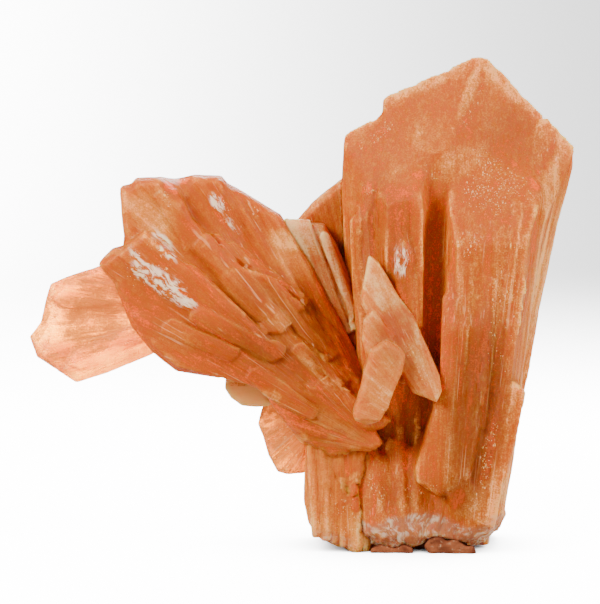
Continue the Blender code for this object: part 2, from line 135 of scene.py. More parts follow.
def grown_together(mesh, node, voxel):
    """Fills the creases between crystals, and melts those of a BLENDS zone into one face."""
    points, normals = vertex_arrays(mesh)
    spread = spreader(mesh, len(points))
    finer = (ROUNDS_VOXEL / voxel) ** 2
    for _ in range(round(FILL_ROUNDS * finer)):
        inward = np.einsum("ij,ij->i", spread(points) - points, normals)
        points = points + normals * np.clip(inward, 0, None)[:, None]
    if node in BLENDS:
        share = np.clip(painted(BLENDS, node, points, normals), 0, 1)[:, None]
        for _ in range(round(BLEND_ROUNDS * finer)):
            points = points + (spread(points) - points) * share
    move_to(mesh, points)


def spreader(mesh, count):
    """A function that gives each vertex the mean of its neighbours' values."""
    pairs = np.empty(len(mesh.edges) * 2, dtype=np.int32)
    mesh.edges.foreach_get("vertices", pairs)
    pairs = pairs.reshape(-1, 2)
    degree = np.bincount(pairs.ravel(), minlength=count)[:, None]

    def spread(values):
        total = np.zeros_like(values)
        for axis in range(values.shape[1]):
            total[:, axis] = np.bincount(pairs[:, 0], values[pairs[:, 1], axis], count)
            total[:, axis] += np.bincount(pairs[:, 1], values[pairs[:, 0], axis], count)
        return total / degree

    return spread


def vertex_arrays(mesh):
    """Positions in millimetres and normals of a mesh's vertices."""
    count = len(mesh.vertices)
    points, normals = np.empty(count * 3), np.empty(count * 3)
    mesh.vertices.foreach_get("co", points)
    mesh.vertex_normals.foreach_get("vector", normals)
    return points.reshape(-1, 3) / MM, normals.reshape(-1, 3)


def move_to(mesh, points):
    """Puts the vertices of a mesh at points, in millimetres."""
    mesh.vertices.foreach_set("co", (points * MM).astype(np.float32).ravel())
    mesh.update()


def polar(points, focus, reference):
    """The u, y and r of points: across the grain at the reference radius, depth, and along it."""
    dx, dz = points[:, 0] - focus[0], points[:, 2] - focus[1]
    r = np.hypot(dx, dz)
    return np.stack([np.arctan2(dx, dz) * reference, points[:, 1], r], axis=1)


def store(mesh, name, values):
    """Keeps a number or a vector for each vertex, for the material to read."""
    kind = "FLOAT_VECTOR" if values.ndim == 2 else "FLOAT"
    made = mesh.attributes.new(name, kind, "POINT")
    key = "vector" if values.ndim == 2 else "value"
    made.data.foreach_set(key, np.ascontiguousarray(values, dtype=np.float32).ravel())


# Fine crystals on the faces


LATH_FACES = [
    (0, 1, 2, 3, 4),
    (9, 8, 7, 6, 5),
    (1, 0, 5, 6),
    (2, 1, 6, 7),
    (3, 2, 7, 8),
    (4, 3, 8, 9),
    (0, 4, 9, 5),
]


LATH_DEPTH = 1.6  # how far a lath reaches into the crystal
STEEP = 0.55  # a face that turns away more than this carries no laths
BENT = 0.5  # how far the face may bulge under a lath


class Laths:
    """Thin laths laid on the faces of a crystal, along its grain."""

    def __init__(self, node, focus, seed):
        self.node = node
        self.verts, self.tris = cad_arrays(node)
        self.tree = tree_of(self.verts, self.tris)
        self.focus = focus
        self.random = np.random.default_rng(seed)
        self.points, self.faces = [], []

    def depth(self, x, z, side):
        """The Y of the face seen from the front, side -1, or from the back, side 1."""
        hit = self.tree.ray_cast(Vector((x, 90.0 * side, z)), Vector((0, -side, 0)))
        return None if hit[0] is None else (hit[0].y, hit[1].y)

    def lay(self, low, high, side, count, lengths, widths, proud):
        """Lays laths that start inside the box from low to high, in X and Z."""
        focus = np.array(self.focus)
        for _ in range(count):
            foot = self.random.uniform(low, high)
            length, width = self.random.uniform(*lengths), self.random.uniform(*widths)
            height, slant = self.random.uniform(*proud), self.random.uniform(-0.9, 0.9)
            along = foot - focus
            along /= np.hypot(*along)
            tip = foot + along * length
            middle = (foot + tip) / 2
            found = [self.depth(*p, side) for p in (foot, middle, tip)]
            if None in found or min(abs(n) for _, n in found) < STEEP:
                continue
            (y0, _), (y1, _), (y2, _) = found
            if abs(y1 - (y0 + y2) / 2) > BENT or abs(y0 - y2) > length * 0.3:
                continue
            half = np.array([along[1], -along[0]]) * width / 2
            shoulders = (tip - along * width * (0.6 + slant), tip - along * width * (0.6 - slant))
            outline = [foot - half, foot + half, shoulders[0] + half, tip, shoulders[1] - half]
            ys = [y0, y0, y2, y2, y2]
            base = len(self.points)
            for lift in (height * side, -LATH_DEPTH * side):
                self.points += [(p[0], y + lift, p[1]) for p, y in zip(outline, ys)]
            order = -1 if side < 0 else 1
            self.faces += [tuple(base + i for i in face[::order]) for face in LATH_FACES]

    def fused(self, name, voxel, smooth):
        """The crystal and its laths as one object."""
        core = object_from(name, self.verts, self.tris)
        if self.points:
            extra = object_from("extra", np.array(self.points), self.faces)
            extra_mesh = extra.data
            with bpy.context.temp_override(active_object=core, selected_editable_objects=[core, extra]):
                bpy.ops.object.join()
            bpy.data.meshes.remove(extra_mesh)
        remeshed(core, voxel, smooth)
        grown_together(core.data, self.node, voxel)
        return core


# Zones of the crystals: an ellipse in X and Z, its turn in degrees, its strength and side


def zone(points, normals, x, z, across, along, turn, side=-1):
    """1 in the middle of an ellipse and 0 outside it, on the front, the back or both."""
    turn = np.radians(turn)
    dx, dz = points[:, 0] - x, points[:, 2] - z
    u = (dx * np.cos(turn) + dz * np.sin(turn)) / across
    v = (-dx * np.sin(turn) + dz * np.cos(turn)) / along
    inside = 1 - rise(np.hypot(u, v), 0.45, 1.15)
    if side:
        inside = inside * rise(normals[:, 1] * side, -0.1, 0.35)
    return inside


# Each zone is x, z, half width, half length, turn, amount
TONES = {  # paler above 0 and deeper below it
    "tall_crystal": [
        (27.6, 49.0, 2.6, 19.0, -2, -0.3),  # painted shade in the deep groove
        (19.0, 24.0, 8.5, 9.0, 0, -0.1),  # painted shade in the hollow below the crossed crystals
        (24.0, 34.0, 5.0, 12.0, -12, -0.05),
        (35.0, 28.0, 7.5, 24.0, -6, -0.22),
        (33.0, 90.8, 1.3, 7.6, -22, 0.4),  # the ridge of the crown, then its rims
        (25.2, 92.8, 1.7, 11.0, -66, 0.3),
        (41.2, 91.2, 1.6, 9.6, 47, 0.3),
        (51.0, 82.5, 1.4, 5.0, 47, 0.25),
        (12.2, 83.8, 1.4, 4.8, -63, 0.3),
        (24.5, 82.5, 3.5, 5.0, 10, 0.2),
        (31.5, 77.5, 6.5, 3.6, 20, 0.3),
        (42.0, 80.0, 8.0, 9.0, 0, -0.04),
        (19.0, 74.5, 3.4, 2.4, 0, 0.2),
        (35.6, 55.0, 4.2, 9.0, 0, 0.16),
        (20.0, 66.0, 5.0, 10.0, 0, -0.36),
        (48.0, 62.0, 4.0, 18.0, -9, 0.2),  # the pink right flank
        (44.0, 36.0, 3.4, 28.0, -8, 0.3),
        (37.5, 10.0, 5.0, 9.0, 0, 0.4),
        (31.5, 10.5, 3.5, 5.0, 0, 0.35),
        (9.5, 66.0, 2.0, 14.0, 4, 0.12),
    ],
    "leaning_sheaf": [
        (-30.0, 67.0, 7.0, 8.0, 0, 0.5),
        (-4.0, 46.2, 2.0, 2.4, 0, 0.16),
        (0.5, 50.2, 1.6, 2.2, 0, 0.14),
        (-6.6, 39.2, 1.6, 1.4, 0, 0.14),
        (-6.6, 53.6, 1.2, 8.5, 39, -0.18),
        (-14.6, 40.2, 1.2, 9.0, 63, -0.18),
        (-3.6, 61.8, 5.4, 2.4, -10, 0.4),
        (-2.0, 57.5, 6.5, 4.5, -35, 0.35),
        (-23.0, 58.0, 10.0, 5.0, -42, 0.12),
        (-12.5, 48.5, 12.0, 2.6, -40, 0.14),  # the long pale blade
        (-21.0, 52.5, 9.0, 5.5, -45, -0.35),
        (-14.0, 37.5, 10.0, 3.0, -20, -0.2),
        (-14.0, 62.0, 8.0, 3.2, -40, -0.16),
        (-19.5, 46.5, 9.0, 4.0, -30, -0.28),
        (-27.0, 50.0, 6.0, 2.6, -55, -0.2),
        (-6.0, 33.0, 9.0, 4.5, -38, -0.05),
        (-34.0, 57.0, 2.6, 7.0, 35, 0.2),
        (-24.0, 42.0, 8.0, 2.4, -20, 0.12),
        (2.0, 37.0, 5.0, 1.4, -36, 0.25),
        (-1.0, 23.0, 8.0, 3.6, -30, 0.05),
        (6.0, 30.0, 6.0, 3.0, -30, -0.12),
        (2.0, 47.0, 13.0, 4.5, -50, -0.25),
        (-7.0, 43.0, 7.0, 3.0, -40, -0.2),
        (12.0, 19.5, 5.0, 2.6, 0, 0.2),
    ],
    "middle_blade": [
        (-1.5, 62.0, 9.0, 3.4, -8, 0.2),
        (2.0, 56.0, 3.0, 12.0, 22, 0.08),
        (6.0, 38.0, 9.0, 6.0, -30, -0.3),
    ],
    "rear_blade": [(6.0, 62.0, 8.0, 7.0, 0, 0.05), (1.0, 68.0, 8.0, 2.0, 40, 0.25)],
    "crossed_crystals": [
        (14.8, 34.5, 3.6, 7.5, -24, 0.12),
        (14.0, 53.5, 2.6, 6.0, 10, 0.1),
        (18.6, 45.5, 4.0, 4.5, 0, -0.45),
        (24.0, 34.0, 3.0, 4.0, 30, 0.1),
    ],
    "foot_columns": [(6.0, 4.0, 8.0, 5.0, 0, 0.12), (9.0, 9.0, 1.8, 11.0, 0, -0.3)],
    "pale_crystal": [(-42.0, 45.0, 7.5, 6.0, 15, -0.4), (-48.0, 52.5, 4.0, 2.6, 0, 0.2)],
    "lower_plate": [(-2.0, 22.0, 4.0, 7.0, 0, -0.1)],
    "lower_tab": [(-9.0, 31.0, 7.0, 2.0, 0, 0.3)],
}
SHADES = {  # painted shade: darker where the stone is thick and less lit
    "tall_crystal": [
        (34.5, 28.5, 7.0, 24.0, -6, 0.8),
        (30.0, 50.0, 4.0, 16.0, 0, 0.12),
        (24.0, 10.0, 12.0, 7.0, 0, 0.3),
        (16.0, 58.0, 7.0, 18.0, 0, 0.35),
        (42.0, 82.0, 8.0, 8.0, 0, 0.2),
    ],
    "leaning_sheaf": [(-3.0, 44.0, 17.0, 11.0, -45, 0.4), (-12.0, 40.0, 12.0, 6.0, -20, 0.3)],
    "middle_blade": [(2.0, 50.0, 12.0, 12.0, 0, 0.15)],
    "rear_blade": [(5.0, 62.0, 12.0, 14.0, 0, 0.25)],
    "crossed_crystals": [(19.0, 44.0, 6.0, 8.0, 30, 0.35)],
}
PAINTED_GLINTS = {  # painted glints: bright specks in place of sparkles of light
    "tall_crystal": [
        (36.5, 76.5, 6.5, 2.2, -38, 0.9),
        (41.5, 73.0, 6.0, 2.6, -40, 0.7),
        (36.2, 71.0, 5.5, 4.0, -20, 1.0),
        (32.5, 61.5, 3.0, 2.6, 0, 0.9),
        (15.5, 82.5, 3.2, 1.2, 40, 1.0),
        (11.8, 80.7, 0.8, 1.6, 0, 1.0),
        (13.6, 71.2, 2.4, 1.0, -25, 1.0),
        (26.0, 75.0, 2.4, 1.4, -20, 0.6),
        (33.2, 88.0, 1.6, 6.0, -24, 0.5),
        (36.4, 20.0, 1.4, 9.0, -12, 0.8),
        (14.2, 13.0, 1.2, 3.6, 38, 1.0),
        (22.2, 12.0, 2.0, 1.6, 0, 0.9),
        (26.0, 13.0, 2.2, 1.4, -30, 0.8),
        (40.0, 50.0, 4.0, 16.0, -6, 0.25),
    ],
    "leaning_sheaf": [
        (-16.3, 69.5, 1.0, 3.2, 50, 1.0),
        (-15.0, 65.5, 2.2, 1.0, -35, 0.8),
        (-27.0, 70.0, 0.9, 3.0, 30, 0.8),
        (-28.6, 61.0, 3.2, 1.8, -45, 0.9),
        (-10.0, 67.5, 3.0, 0.9, -40, 0.5),
        (-30.5, 55.5, 4.5, 3.0, 0, 0.5),
    ],
    "foot_columns": [(6.5, 6.0, 7.0, 6.0, 0, 0.5)],
    "lower_plate": [(-3.5, 22.0, 4.0, 8.0, 0, 0.6)],
    "pale_crystal": [(-44.0, 37.0, 9.0, 2.0, 12, 0.5)],
    "crossed_crystals": [(22.5, 38.0, 1.0, 7.0, 28, 0.6)],
}
FLAKES = {  # white cleavage shreds: partly their own white, partly a painted pearly highlight
    "tall_crystal": [(19.4, 58.0, 2.1, 4.0, 0, 1.0)],
    "leaning_sheaf": [
        (-28.4, 55.0, 7.0, 2.5, -22, 1.0),
        (-24.6, 51.2, 5.4, 1.9, -26, 1.0),
        (-27.0, 61.0, 1.8, 4.8, 40, 0.9),
        (-32.2, 59.0, 1.4, 3.4, 40, 0.8),
        (-16.8, 69.0, 1.5, 3.0, 35, 0.9),
        (-14.2, 65.0, 0.9, 3.4, 35, 0.7),
    ],
}
ROOTS = {  # the white fibrous band along the base
    "tall_crystal": [
        (12.0, 3.4, 7.0, 3.0, -40, 0.8),
        (19.0, 4.0, 8.5, 3.8, 12, 1.0),
        (27.5, 4.0, 7.5, 3.8, -20, 1.0),
        (33.5, 3.0, 6.0, 3.0, 10, 0.8),
        (38.0, 5.0, 4.4, 4.4, 0, 0.4),
    ],
    "foot_columns": [(5.0, 2.6, 7.0, 2.6, -15, 0.5)],
}
BLENDS = {  # where crystals have grown into one face
    "tall_crystal": [
        (39.0, 75.5, 12.0, 6.5, -8, 1.0),
        (19.5, 75.5, 6.0, 5.0, 0, 1.0),
        (10.5, 73.0, 3.5, 7.0, 0, 0.8),
        (16.4, 79.0, 2.8, 7.0, 0, 0.9),
        (30.5, 10.0, 4.0, 5.5, 0, 1.0),
        (9.0, 10.5, 4.5, 9.0, 0, 1.0),
    ],
    "leaning_sheaf": [(-24.8, 72.8, 3.0, 3.4, 0, 1.0, 0), (-14.5, 64.0, 2.6, 8.0, 0, 0.9)],
    "foot_columns": [(9.5, 12.0, 2.4, 11.0, 0, 1.0)],
}
BLADES = {  # thin blades that stand proud of a face, with their height as the amount
    "leaning_sheaf": [
        (-12.0, 53.2, 2.6, 12.4, 39, 0.85),
        (-8.2, 54.2, 2.2, 10.4, 53, 0.6),
        (-12.8, 43.7, 1.8, 10.0, 63, 0.7),
        (-20.0, 42.6, 1.6, 8.0, 66, 0.5),
        (3.6, 37.4, 1.2, 6.5, 54, 0.6),
        (8.0, 31.2, 1.5, 6.0, 58, 0.55),
        (-4.0, 32.0, 1.8, 8.0, 54, 0.6),
        (0.5, 44.0, 1.3, 8.0, 44, 0.55),
        (-24.0, 66.0, 2.0, 7.0, 30, 0.4),
    ],
    "middle_blade": [(3.0, 54.0, 3.0, 13.0, 24, 1.2)],
    "tall_crystal": [
        (46.5, 58.0, 1.1, 19.0, -9, 0.4),
        (43.2, 42.0, 1.3, 27.0, -7, 0.45),
        (39.4, 27.0, 1.2, 20.0, -6, 0.4),
        (36.2, 40.0, 0.9, 15.0, -4, 0.35),
        (41.2, 60.0, 0.9, 10.0, -6, 0.35),
        (31.8, 48.0, 0.8, 10.0, -3, 0.3),
        (11.4, 52.0, 0.9, 17.0, 3, 0.35),
        (15.6, 54.0, 1.1, 14.0, 2, 0.3),
        (22.6, 58.0, 0.9, 13.0, 0, 0.3),
    ],
}
SLANT, TAPER = 0.3, 0.45  # how much the tip of a blade leans and narrows
FAN, FAN_REACH = (23.0, -6.0), 12.0  # the fibres of the root spread from here


def raised(node, points, normals):
    """How far the blades of a node lift each vertex, and a painted highlight along a blade's edges,
    brightest on the right.
    """
    lift, painted_rim = np.zeros(len(points)), np.zeros(len(points))
    front = rise(-normals[:, 1], 0.3, 0.6)
    wander = noise(points / 3.5, 811) * 0.35
    for x, z, across, along, turn, height in BLADES.get(node, ()):
        turn = np.radians(turn)
        dx, dz = points[:, 0] - x, points[:, 2] - z
        u = dx * np.cos(turn) + dz * np.sin(turn) + wander
        v = -dx * np.sin(turn) + dz * np.cos(turn)
        tip = along - np.abs(v + SLANT * u) - TAPER * np.abs(u)
        inside = np.minimum(across - np.abs(u), tip)
        lift = np.maximum(lift, rise(inside, -0.12, 0.16) * height * front)
        lit = 0.25 + 0.75 * rise(u, 0.0, across * 0.6)  # painted highlight: the right edge is drawn paler, as if it catches the light
        painted_rim = np.maximum(painted_rim, (1 - rise(np.abs(inside - 0.1), 0.0, 0.34)) * front * lit)
    return lift, painted_rim


def painted(table, node, points, normals):
    """The zones of one table added up at each vertex."""
    total = np.zeros(len(points))
    for x, z, across, along, turn, amount, *side in table.get(node, ()):
        total += zone(points, normals, x, z, across, along, turn, *side) * amount
    return total


# Painted light and shade inside the stone: cover and thinness, sampled on the plain CAD solids

EVERY = [cad_arrays(node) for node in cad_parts]
STARTS = np.cumsum([0] + [len(v) for v, _ in EVERY])
WHOLE = tree_of(
    np.concatenate([v for v, _ in EVERY]),
    np.concatenate([t + start for (_, t), start in zip(EVERY, STARTS)]),
)
SAMPLES, RAYS = 5200, 26
REACH = 16.0  # farther crystals don't hide a face
THICK = 14.0  # deeper stone looks no thicker
FADE = 3.0  # the depth at which stone stops looking thin


def directions(count):
    """Unit vectors spread evenly over a sphere."""
    k = np.arange(count) + 0.5
    height = 1 - 2 * k / count
    turn = k * np.pi * (3 - 5**0.5)
    flat = np.sqrt(1 - height * height)
    return np.stack([flat * np.cos(turn), flat * np.sin(turn), height], axis=1)


def hidden_and_thin(points, normals, tree):
    """For each vertex, how much of its sky is covered, and how thin the stone is behind it."""
    step = max(1, len(points) // SAMPLES)
    chosen = np.arange(0, len(points), step)
    rays = directions(RAYS)
    near = KDTree(len(chosen))
    found = np.empty((len(chosen), 2))
    for k, i in enumerate(chosen):
        point, normal = Vector(points[i]), Vector(normals[i])
        covered, weight = 0.0, 0.0
        for ray in rays:
            facing = float(ray @ normals[i])
            if facing > 0.08:
                hit = WHOLE.ray_cast(point + normal * 0.7, Vector(ray), REACH)
                weight += facing
                if hit[0] is not None:
                    covered += facing * (1 - hit[3] / REACH)
        hit = tree.ray_cast(point - normal, -normal, THICK)
        depth = THICK if hit[0] is None else hit[3] + 1.0
        if hit[0] is not None and hit[1].dot(normal) > 0:
            depth = 0.8
        found[k] = covered / weight, depth
        near.insert(point, k)
    near.balance()
    values = np.empty((len(points), 2))
    for i, point in enumerate(points):
        close = near.find_n(point, 3)
        weights = np.array([1 / (0.05 + d) for _, _, d in close])
        values[i] = weights @ found[[k for _, k, _ in close]] / weights.sum()
    return values[:, 0], np.exp(-values[:, 1] / FADE)


def sharpness(mesh, points, normals, rounds=3):
    """How much each vertex sits on an outward edge, from 0 to 1, and how it sits in a crease."""
    spread = spreader(mesh, len(points))
    centre = points
    for _ in range(rounds):
        centre = spread(centre)
    bulge = np.einsum("ij,ij->i", points - centre, normals)[:, None]
    bulge = spread(bulge)[:, 0]
    return np.clip(bulge / 0.1, 0, 1), np.clip(-bulge / 0.1, 0, 1)


def shares(node, points):
    """For each vertex the share of ribs, steps, stripes, laths and pale lines that shows there."""
    full = np.ones(len(points))
    if node != "tall_crystal":
        return full, full, 0.35 * full, full, 0.45 * full
    x, z = points[:, 0], points[:, 2]
    crown = rise(z, 60, 74) * (1 - rise(x, 43, 49))  # it is smooth, and the flanks are striped
    ribs, steps = 1 - 0.9 * crown, 1 - 0.8 * rise(z, 62, 76)
    stripes = (1 - crown) * (0.5 + 0.5 * rise(x, 34, 44) + 0.6 * rise(x, 44, 48))
    return ribs, steps, stripes, 1 - 0.85 * crown, (1 - crown) * (0.4 + 0.5 * rise(x, 43, 49))


def stepped(grain, seed):
    """Flat steps of random height, from -0.5 to 0.5, in long cells along the grain."""
    sway = noise(grain / (9.0, 9.0, 22.0), seed + 11) * 0.7
    column = np.floor(np.stack([grain[:, 0] / 3.1 + sway, grain[:, 1] / 3.6 + sway], axis=1))
    cells = np.concatenate([column, np.zeros((len(grain), 1))], axis=1)
    shift = hashed(cells, seed + 21) * 40 + grain[:, 0] * (hashed(cells, seed + 22) - 0.5) * 3
    cells[:, 2] = np.floor((grain[:, 2] + shift) / (14 + 22 * hashed(cells, seed + 23)))
    return hashed(cells, seed + 31) - 0.5


def weather_and_painted_light(node, mesh, look, seed):
    """Ribs along the grain, low steps, a rough skin and nibbled edges, as moves of the vertices; then a
    tone with painted light and shade, and the other values the material reads, kept on the vertices.
    """
    points, normals = vertex_arrays(mesh)
    grain = polar(points, look.focus, look.reference)
    hidden, thin = hidden_and_thin(points, normals, tree_of(*cad_arrays(node)))
    edge, crease = sharpness(mesh, points, normals)
    flake, root, glint, shade, zoned = (
        painted(table, node, points, normals) for table in (FLAKES, ROOTS, PAINTED_GLINTS, SHADES, TONES)
    )
    ribbed, flat, striped, lathed, lined = shares(node, points)
    broad = layered(grain / (1.2, 1.9, 34.0), seed) * 0.6
    lines = broad + noise(grain / (0.7, 1.0, 22.0), seed + 5) * 0.4
    level = stepped(grain, seed)
    skin = layered(points / 2.6, seed + 41)
    wave = noise(points / 9.0, seed + 45)
    nibble = np.clip(noise(points / (1.6, 1.6, 2.0), seed + 51) - 0.1, 0, 1) / 0.9
    shred = 1 - np.abs(layered(grain / (1.0, 1.0, 2.6) + wave[:, None], seed + 61, 2)) * 2
    fibre = noise(points / (0.8, 0.8, 1.6) + noise(points / 4.0, seed + 65)[:, None] * 2, seed + 66)
    stripe = noise(grain / (1.1, 1.4, 60.0), seed + 71)
    move = SWELL + look.ribs * ribbed * lines + look.steps * flat * level
    move += 0.05 * skin + 0.1 * wave - 0.45 * nibble * edge
    lift, painted_rim = raised(node, points, normals)
    if node == "foot_columns":  # it leans over the seam beside the tall crystal
        seam = rise(points[:, 0], 8.0, 10.5)
        lift += 0.9 * seam
        edge = edge * (1 - seam)
    move += 0.3 * flake * shred + 0.3 * root * fibre + lift
    moved = points + normals * move[:, None]
    moved[:, 2] = np.maximum(moved[:, 2], 0.0)
    move_to(mesh, moved)
    # painted light and shade: paler where the stone behind is thin, as light shines through it, and
    # darker where crystals hide the sky and in creases
    tone = look.tint + 0.5 * thin - 0.5 * hidden + 0.08 * wave + 0.14 * level - 0.14 * crease
    # painted highlight on blade rims and outward edges; raised blades are a little paler
    tone += 0.36 * painted_rim + 0.16 * np.minimum(lift, 0.6) + 0.45 * edge**1.5
    tone += 0.3 * stripe * striped + zoned
    tone = np.maximum(tone, 0.22 - rise(hidden, 0.55, 0.8))  # painted glow: only deep recesses reach the red lowest tones
    coarse = np.full(len(points), 0.85 if node == "tall_crystal" else 0.45)
    stored = {
        "grain": grain,
        "fan": polar(points, FAN, FAN_REACH),
        "tone": tone,
        "laths": lathed,
        "lined": lined,
        "coarse": coarse,
        "shade": np.clip(shade, 0, 1),
        "glint": np.clip(glint, 0, 1),
        "flake": np.clip(flake * (0.4 + 0.6 * shred), 0, 1),
        "root": np.clip(root, 0, 1),
    }
    for name, values in stored.items():
        store(mesh, name, values)


# Materials


class Nodes:
    """Short ways to add shader nodes to one material."""

    def __init__(self, name):
        self.material = bpy.data.materials.new(name)
        self.material.use_nodes = True
        self.tree = self.material.node_tree
        self.tree.nodes.clear()

    def add(self, kind, inputs=(), **settings):
        """A node with those settings. inputs maps a socket's name or number to a value or a socket."""
        node = self.tree.nodes.new("ShaderNode" + kind)
        for key, value in settings.items():
            setattr(node, key, value)
        for key, value in dict(inputs).items():
            if isinstance(value, bpy.types.NodeSocket):
                self.tree.links.new(value, node.inputs[key])
            else:
                node.inputs[key].default_value = value
        return node

    def value(self, name):
        """A number that each vertex keeps."""
        return self.add("Attribute", attribute_name=name).outputs["Fac"]

    def field(self, name):
        """A vector that each vertex keeps."""
        return self.add("Attribute", attribute_name=name).outputs["Vector"]

    def vector(self, operation, a, b=(0.0, 0.0, 0.0)):
        return self.add("VectorMath", {0: a, 1: b}, operation=operation).outputs[0]

    def warped(self, vector, scale, amount):
        """The vector, bent by noise of that scale."""
        bend = self.add("TexNoise", {"Vector": vector, "Scale": scale, "Detail": 2.0}).outputs["Color"]
        return self.vector("ADD", vector, self.vector("MULTIPLY", bend, (amount,) * 3))

    def noise(self, vector, scale, stretch=(1, 1, 1), detail=3.0, rough=0.55):
        """Noise from 0 to 1, stretched along an axis by a small number there."""
        if stretch != (1, 1, 1):
            vector = self.vector("MULTIPLY", vector, stretch)
        settings = {"Vector": vector, "Scale": scale, "Detail": detail, "Roughness": rough}
        return self.add("TexNoise", settings).outputs["Fac"]

    def ramp(self, value, low, high, to=(0.0, 1.0)):
        """Maps low..high to the range to, smoothly and clamped."""
        limits = {0: value, 1: low, 2: high, 3: to[0], 4: to[1]}
        return self.add("MapRange", limits, interpolation_type="SMOOTHSTEP").outputs[0]

    def math(self, operation, a, b):
        return self.add("Math", {0: a, 1: b}, operation=operation).outputs[0]

    def product(self, first, *others):
        for other in others:
            first = self.math("MULTIPLY", first, other)
        return first

    def varied(self, value, part, share):
        """The value, raised or lowered by its share of a part that runs from 0 to 1."""
        return self.math("ADD", value, self.product(self.math("SUBTRACT", part, 0.5), share))

    def red(self, colour):
        return self.add("SeparateColor", {0: colour}).outputs[0]

    def mix(self, factor, a, b, blend="MIX"):
        """Mixes two colours."""
        made = self.add("Mix", data_type="RGBA", blend_type=blend)
        for key, value in ((0, factor), (6, a), (7, b)):
            if isinstance(value, bpy.types.NodeSocket):
                self.tree.links.new(value, made.inputs[key])
            else:
                made.inputs[key].default_value = value if key == 0 else (*value, 1.0)
        return made.outputs[2]

    def colours(self, value, stops):
        """A colour for each value from 0 to 1."""
        ramp = self.add("ValToRGB", {0: value})
        elements = ramp.color_ramp.elements
        while len(elements) < len(stops):
            elements.new(0.5)
        for element, (place, colour) in zip(elements, stops):
            element.position = place
            element.color = (*colour, 1.0)
        return ramp.outputs[0]


# Colours from the deepest tone, 0, to the palest, 1. The red at the lowest tones, reached mostly in
# deep recesses, is a painted glow.
PEACH_TONES = [
    (0.0, (0.82, 0.120, 0.008)),
    (0.1, (0.58, 0.090, 0.004)),
    (0.22, (0.48, 0.080, 0.003)),
    (0.4, (0.53, 0.112, 0.006)),
    (0.6, (0.60, 0.160, 0.015)),
    (0.8, (0.72, 0.232, 0.036)),
    (1.0, (0.98, 0.405, 0.110)),
]
TAN_TONES = [
    (0.0, (0.50, 0.060, 0.006)),
    (0.3, (0.50, 0.098, 0.014)),
    (0.6, (0.56, 0.175, 0.036)),
    (1.0, (0.80, 0.440, 0.180)),
]
CREAM_TONES = [
    (0.0, (0.52, 0.070, 0.005)),
    (0.3, (0.56, 0.125, 0.013)),
    (0.6, (0.66, 0.215, 0.034)),
    (1.0, (0.90, 0.500, 0.180)),
]
CLEAR_TONES = [
    (0.0, (0.70, 0.160, 0.018)),
    (0.4, (0.74, 0.205, 0.024)),
    (0.7, (0.84, 0.275, 0.028)),
    (1.0, (0.95, 0.570, 0.160)),
]


PAINTED_SHADE_TINT = (0.42, 0.46, 0.6)
PALE_LINE = (0.92, 0.46, 0.19)
PAINTED_GLINT_COLOUR = (1.0, 0.64, 0.24)
CLEAVED_WHITE_AND_SHEEN = (1.0, 0.76, 0.50)
ROOT_BROWN = (0.34, 0.115, 0.048)
ROOT_WHITE = (0.64, 0.45, 0.28)
TILT = 0.16


def lath_cells(n, grain, tone):
    """Long cells along the grain that shift the tone and tilt the normal, as fine crystals do."""
    normal = n.add("NewGeometry").outputs["Normal"]
    for stretch, share in (((0.4, 0.4, 0.03), 0.24), ((1.1, 1.1, 0.06), 0.16)):
        split = n.vector("MULTIPLY", grain, stretch)
        cell = n.add("TexVoronoi", {"Vector": split, "Scale": 1.0}).outputs["Color"]
        level = n.math("SUBTRACT", n.red(cell), 0.5)
        tone = n.math("ADD", tone, n.product(n.value("laths"), share, level))
        tilt = n.vector("MULTIPLY", n.vector("SUBTRACT", cell, (0.5, 0.5, 0.5)), (TILT, TILT, TILT))
        normal = n.vector("ADD", tilt, normal)
    return tone, n.vector("NORMALIZE", normal)


def painted_sparks(n, grain, place):
    """Painted glints: bright specks, and shards along the grain, where a vertex keeps a glint; from 0
    to 1.
    """
    ragged = n.ramp(n.noise(place, 3600.0, detail=2.0), 0.4, 0.55)
    shard = n.vector("MULTIPLY", grain, (2.6, 2.6, 1.1))
    total = 0.0
    for where, scale, share in ((place, 3600.0, 0.45), (shard, 1.0, 0.4)):
        cell = n.add("TexVoronoi", {"Vector": where, "Scale": scale, "Randomness": 1.0})
        limit = n.math("SUBTRACT", 1.0, n.product(n.value("glint"), share))
        chosen = n.math("GREATER_THAN", n.red(cell.outputs["Color"]), limit)
        spot = n.product(chosen, n.ramp(cell.outputs["Distance"], 0.42, 0.2), ragged)
        total = n.math("MAXIMUM", total, spot)
    return total


def fibrous_root(n, colour, haze):
    """Brown stone with white fibres that fan out, where a vertex keeps a root."""
    rooted = n.value("root")
    colour = n.mix(n.ramp(rooted, 0.1, 0.9, (0.0, 0.75)), colour, ROOT_BROWN)
    fibres = n.noise(n.warped(n.field("fan"), 0.35, 3.0), 1.0, (1.5, 1.5, 0.22), 4.0, 0.62)
    white = n.product(n.ramp(fibres, 0.42, 0.62), n.ramp(haze, 0.4, 0.56))
    return n.mix(n.product(n.ramp(rooted, 0.1, 0.7), white, 0.85), colour, ROOT_WHITE)


